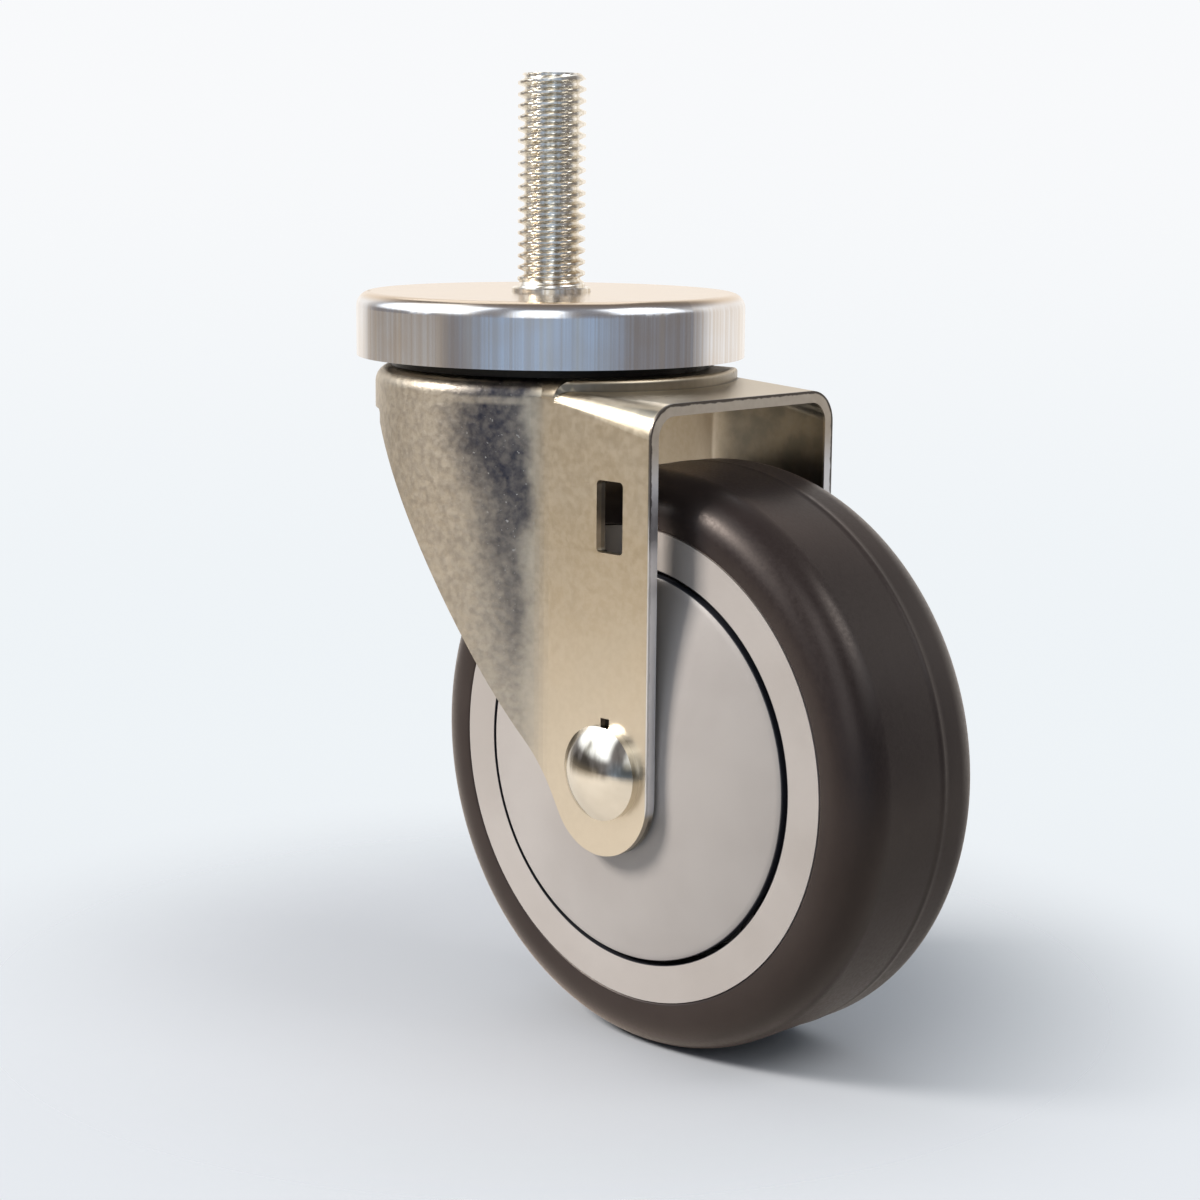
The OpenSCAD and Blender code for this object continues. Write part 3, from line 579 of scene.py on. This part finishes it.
polished_bolt, tree, shader = new_surface("polished_bolt", (0.80, 0.78, 0.74), 1.0, 0.07)
place = object_place(tree)
film = cloud(tree, place, 260, 3)
axes = add_node(tree, "SeparateXYZ", {0: place})
over_hub = work_out(tree, "SUBTRACT", axes.outputs["Z"], hub.z)
streak = cloud(tree, place, 230, 3, (1, 1, 0.35))
# Painted reflection: dark streaks over the upper half of the head's near side
dark_reflection_streaks = times(tree, fade(tree, over_hub, *reflection_streak_foot), fade(tree, streak, 0.42, 0.58),
                work_out(tree, "LESS_THAN", axes.outputs["Y"], 0.0))
tint = blend_colour(tree, film, (0.58, 0.54, 0.47), (0.74, 0.71, 0.65))
set_colour(tree, shader, blend_colour(tree, dark_reflection_streaks, tint, (0.20, 0.18, 0.145)))
set_gloss(tree, shader, film, 0.05, 0.13)
finish_node("axle_bolt", polished_bolt)


# Washer and lock nut: steel, zinc plated with a fine grain. They hold the bolt's far end against
# the leg.
nut_zinc = mottled("nut_zinc", (0.66, 0.63, 0.57), 1.0, 0.28, (700, 4),
                   (0.60, 0.57, 0.50), (0.70, 0.68, 0.62), gloss=(0.24, 0.34), depth=0.000006)
for node in ("axle_washer", "axle_nut"):
    finish_node(node, nut_zinc)


# Locking ring: a matt ring of blue nylon, held in the nut's collar, which grips the bolt's
# thread.
blue_nylon = mottled("blue_nylon", (0.06, 0.14, 0.42), 0.0, 0.45, (600, 2),
                     (0.045, 0.11, 0.34), (0.08, 0.18, 0.48), depth=0.00001)
finish_node("nut_insert", blue_nylon)


# Sleeve, spacer, bearing rings and shields: plain bright steel with fine marks drawn out along
# the axle. They sit round the bolt or in the core's hub, behind the discs.
drawn_steel = mottled("drawn_steel", (0.55, 0.55, 0.55), 1.0, 0.30, (900, 3, (1, 0.05, 1)),
                      (0.42, 0.42, 0.42), (0.66, 0.66, 0.66), gloss=(0.22, 0.40))
for node in ("axle_sleeve", "bearing_spacer", "inner_rings", "outer_rings", "bearing_shields"):
    finish_node(node, drawn_steel)


# Ball cages: pressed brass rings, a little uneven in colour, that keep the balls of the wheel's
# bearings apart.
cage_brass = mottled("cage_brass", (0.60, 0.45, 0.22), 1.0, 0.35, (500, 3),
                     (0.48, 0.34, 0.15), (0.68, 0.53, 0.28))
finish_node("ball_cages", cage_brass)


# Wheel core: moulded in a smooth warm grey plastic, with a face ring that shows round the disc.
# The groove between ring and disc is painted dark, as painted shade.
groove_in, groove_out, groove_edge = 0.03332, 0.03433, 0.0001


def moulded_grey(name, dark, light, roughness):
    """Smooth grey moulding: a slow colour drift, a fine satin grain, and painted shade, a dark ring
    between two distances from the wheel's axis where the groove is."""
    surface, tree, shader = new_surface(name, light, 0.0, roughness)
    place = object_place(tree)
    drift = cloud(tree, place, 45, 3)
    grain = cloud(tree, place, 1400, 3)
    tint = blend_colour(tree, fade(tree, drift, 0.3, 0.7), dark, light)
    from_hub = add_node(tree, "VectorMath", {0: place, 1: hub}, operation="SUBTRACT").outputs[0]
    from_hub = add_node(tree, "VectorMath", {0: from_hub, 1: (1, 0, 1)}, operation="MULTIPLY").outputs[0]
    from_hub = length_of(tree, from_hub)
    # Painted shade: dark ring in the groove between the disc and the core's face ring
    painted_groove_shade = times(tree, fade(tree, from_hub, groove_in - groove_edge, groove_in),
                   fade(tree, from_hub, groove_out, groove_out + groove_edge, 1, 0))
    set_colour(tree, shader, blend_colour(tree, painted_groove_shade, tint, (0.035, 0.036, 0.045)))
    set_gloss(tree, shader, grain, roughness - 0.05, roughness + 0.08)
    relief(tree, shader, grain, 0.000012)
    return surface


core_grey = moulded_grey("core_grey", (0.49, 0.445, 0.415), (0.55, 0.505, 0.475), 0.36)
finish_node("wheel_core", core_grey)


# Cover discs: thin domed discs moulded in the same grey, with a seat against the leg and a collar
# against the bearing. They stay with the fork and the core turns between them. The near one
# stands a little proud of the core's ring and is made here; the far one is the CAD solid.
disc_r, disc_edge, disc_top, disc_wall = 0.0334, 0.01645, 0.0205, 0.0016
seat_r, seat_out, collar_r, collar_in, bore_r = 0.0086, 0.02085, 0.0082, 0.0145, 0.0061
rolled = 0.00025
dome_rows, rolled_rows, disc_columns = 28, 5, 180
dome_rise = disc_top - disc_edge
dome_r = (disc_r ** 2 + dome_rise ** 2) / (2 * dome_rise)


def dome(radius):
    """Height of the disc's outside over the wheel's middle: a sphere's cap, flat in its centre."""
    return disc_top - dome_r + np.sqrt(dome_r ** 2 - np.square(radius))


outer_r = np.linspace(seat_r, disc_r - rolled, dome_rows)
inner_r = np.array([disc_r, *outer_r[::-1][1:]])
corner = np.radians(np.linspace(90, 0, rolled_rows))
corner_r = disc_r - rolled * (1 - np.cos(corner))
corner_z = disc_edge - rolled * (1 - np.sin(corner))
section = np.vstack([
    [(bore_r, seat_out), (seat_r, seat_out)],
    np.stack([outer_r, dome(outer_r)], 1),
    np.stack([corner_r, corner_z], 1)[1:],
    np.stack([inner_r, dome(inner_r) - disc_wall], 1),
    [(collar_r, dome(collar_r) - disc_wall), (collar_r, collar_in), (bore_r, collar_in)]])
disc = lathe("near_disc", section[:, 0], section[:, 1], disc_columns, closed=True)
disc.data.transform(Matrix.Translation(hub) @ Matrix.Rotation(np.radians(90), 4, "X"))
soften(disc, 40)

disc_grey = moulded_grey("disc_grey", (0.465, 0.427, 0.405), (0.525, 0.487, 0.463), 0.34)
finish_node("guard_far", disc_grey)
disc.data.materials.append(disc_grey)
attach(disc, "fork_body")
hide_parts("guard_near")


# Tyre: soft dark brown-grey rubber moulded round the core, with rounded shoulders and the faint
# parting line that the mould leaves on the tread, a little off its middle. Its radius is kept a
# micrometre inside the CAD tyre's.
tyre_low, tyre_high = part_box("tyre")
inside_cad = 0.000001
tyre_r = (tyre_high.z - tyre_low.z) / 2 - inside_cad
tyre_half = (tyre_high.y - tyre_low.y) / 2
rubber_depth, shoulder_r, lip = 0.0093, 0.007, 0.0006
line_height, line_half, line_flank, line_place = 0.00010, 0.00035, 0.7, 0.0045
shoulder_rows, lip_rows, tyre_columns = 24, 5, 240
core_r = tyre_r - rubber_depth
tread_r = tyre_r - line_height


def arc(centre_r, centre_h, radius, start, end, steps):
    """Points of a circular arc in the section plane, as radius and height, between two angles."""
    angle = np.radians(np.linspace(start, end, steps))
    return np.stack([centre_r + radius * np.cos(angle), centre_h + radius * np.sin(angle)], 1)


def parting_line(height):
    """Small raised ridge on the tread: up, over and down again, with the flat tread beside it."""
    flank_r = tread_r + line_height * line_flank
    return [(tread_r, height - 4 * line_half), (tread_r, height - 2 * line_half),
            (flank_r, height - line_half), (tyre_r, height), (flank_r, height + line_half),
            (tread_r, height + 2 * line_half), (tread_r, height + 4 * line_half)]


section = np.vstack([
    arc(core_r + lip, -tyre_half + lip, lip, 180, 270, lip_rows),
    arc(tread_r - shoulder_r, -tyre_half + shoulder_r, shoulder_r, -90, 0, shoulder_rows),
    parting_line(line_place),
    arc(tread_r - shoulder_r, tyre_half - shoulder_r, shoulder_r, 0, 90, shoulder_rows),
    arc(core_r + lip, tyre_half - lip, lip, 90, 180, lip_rows)])
tyre = lathe("moulded_tyre", section[:, 0], section[:, 1], tyre_columns, closed=True)
tyre.data.transform(Matrix.Translation(hub) @ Matrix.Rotation(np.radians(-90), 4, "X"))
soften(tyre, 50)

brown_rubber, tree, shader = new_surface("brown_rubber", (0.036, 0.028, 0.027), 0.0, 0.32)
place = object_place(tree)
drift = cloud(tree, place, 60, 3)
grain = cloud(tree, place, 1600, 3)
set_colour(tree, shader, blend_colour(tree, fade(tree, drift, 0.3, 0.7),
                                      (0.0225, 0.0165, 0.0163), (0.0310, 0.0235, 0.0228)))
set_gloss(tree, shader, grain, 0.28, 0.38)
relief(tree, shader, grain, 0.000008)
shader.inputs["Specular IOR Level"].default_value = 0.30
shader.inputs["Specular Tint"].default_value = (1.0, 0.86, 0.79, 1)
shader.inputs["Sheen Weight"].default_value = 0.22
shader.inputs["Sheen Roughness"].default_value = 0.4
shader.inputs["Sheen Tint"].default_value = (1.0, 0.74, 0.62, 1)
tyre.data.materials.append(brown_rubber)
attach(tyre, "wheel")
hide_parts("tyre")
